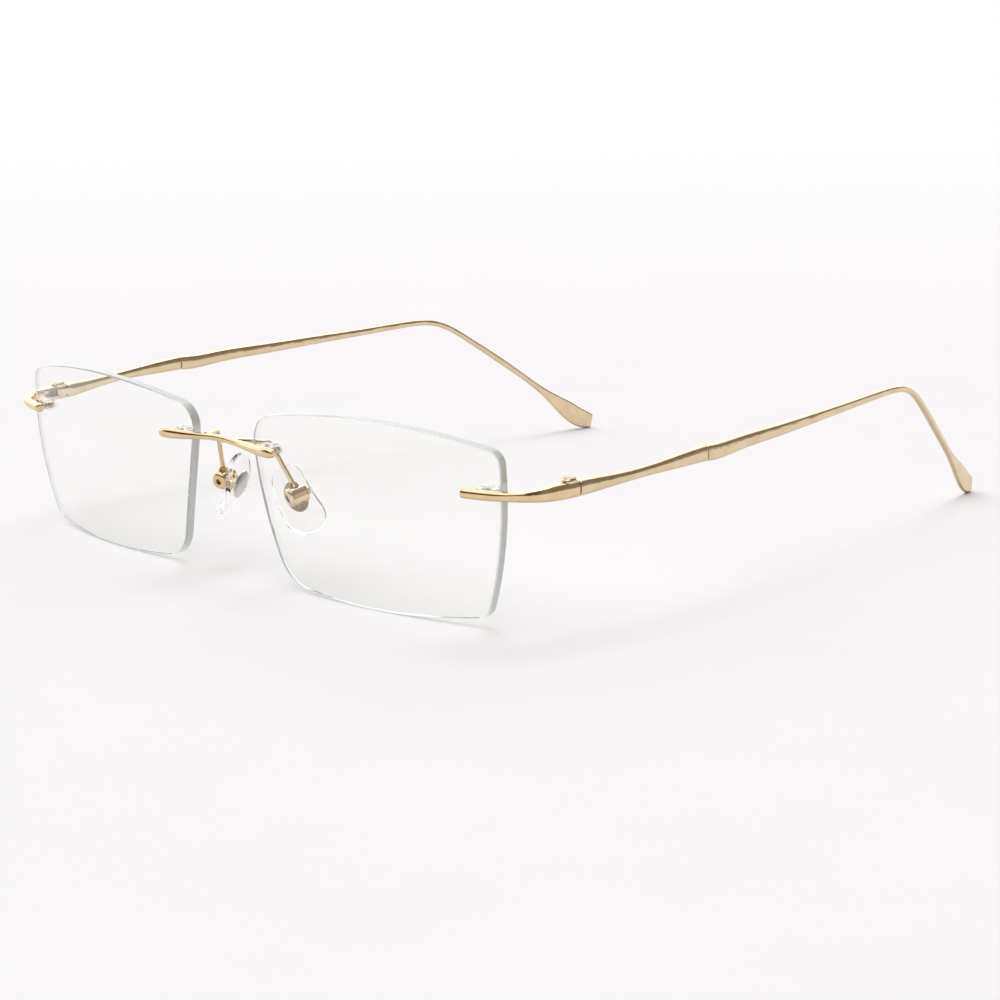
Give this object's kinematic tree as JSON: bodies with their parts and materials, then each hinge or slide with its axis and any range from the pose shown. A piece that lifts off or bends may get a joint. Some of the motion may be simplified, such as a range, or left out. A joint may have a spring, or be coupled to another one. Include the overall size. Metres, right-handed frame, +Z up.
{
  "type": "eyeglasses",
  "caption": "Rimless eyeglasses: clear trapezoid lenses on a slim bar bridge, folding metal temples with curved ear ends, and rocking clear nose pads.",
  "frame": {"origin": "middle of the bounding box in plan, on the plane that the lens feet and temple tips stand on", "axes": "+Z up, -Y the way the wearer looks, +X the wearer's left"},
  "size_m": [0.1422, 0.1436, 0.0321],
  "materials": {
    "gold_metal": "polished pale gold plating on a nickel alloy",
    "gold_temple": "satin-polished pale gold plating on titanium",
    "screw_metal": "gold-washed steel screws with slotted heads",
    "insert_metal": "stamped gold-plated insert with a grained face",
    "lens": "clear polished lens with a faint anti-reflection coating and ground edges",
    "pad_clear": "soft clear moulded pad",
    "sleeve_clear": "clear moulded plastic plug"
  },
  "bodies": {
    "front": {"bridge": "gold_metal", "lens_left": "lens", "lens_right": "lens", "nose_sleeve_left": "sleeve_clear", "nose_sleeve_right": "sleeve_clear", "temple_sleeve_left": "sleeve_clear", "temple_sleeve_right": "sleeve_clear", "endpiece_left": "gold_metal", "endpiece_right": "gold_metal", "hinge_screw_left": "screw_metal", "hinge_screw_right": "screw_metal", "pad_arm_left": "gold_metal", "pad_arm_right": "gold_metal", "pad_box_left": "gold_metal", "pad_box_right": "gold_metal", "pad_screw_left": "screw_metal", "pad_screw_right": "screw_metal"},
    "temple_left": {"temple_front_left": "gold_temple", "temple_arm_left": "gold_temple"},
    "temple_right": {"temple_front_right": "gold_temple", "temple_arm_right": "gold_temple"},
    "pad_left": {"pad_insert_left": "insert_metal", "nose_pad_left": "pad_clear"},
    "pad_right": {"pad_insert_right": "insert_metal", "nose_pad_right": "pad_clear"}
  },
  "joints": [
    {"name": "temple_left_fold", "type": "hinge", "parent": "front", "child": "temple_left", "pos_m": [0.06805, -0.0548, 0.02266], "axis": [0, 0, 1], "range_deg": [0, 84]},
    {"name": "temple_right_fold", "type": "hinge", "parent": "front", "child": "temple_right", "pos_m": [-0.06805, -0.0548, 0.02266], "axis": [0, 0, -1], "range_deg": [0, 81]},
    {"name": "pad_left_rock", "type": "hinge", "parent": "front", "child": "pad_left", "pos_m": [0.01029, -0.06147, 0.0148], "axis": [0.213, 0.9428, 0.2563], "range_deg": [-10, 10]},
    {"name": "pad_right_rock", "type": "hinge", "parent": "front", "child": "pad_right", "pos_m": [-0.01029, -0.06147, 0.0148], "axis": [0.213, -0.9428, -0.2563], "range_deg": [-10, 10]}
  ]
}
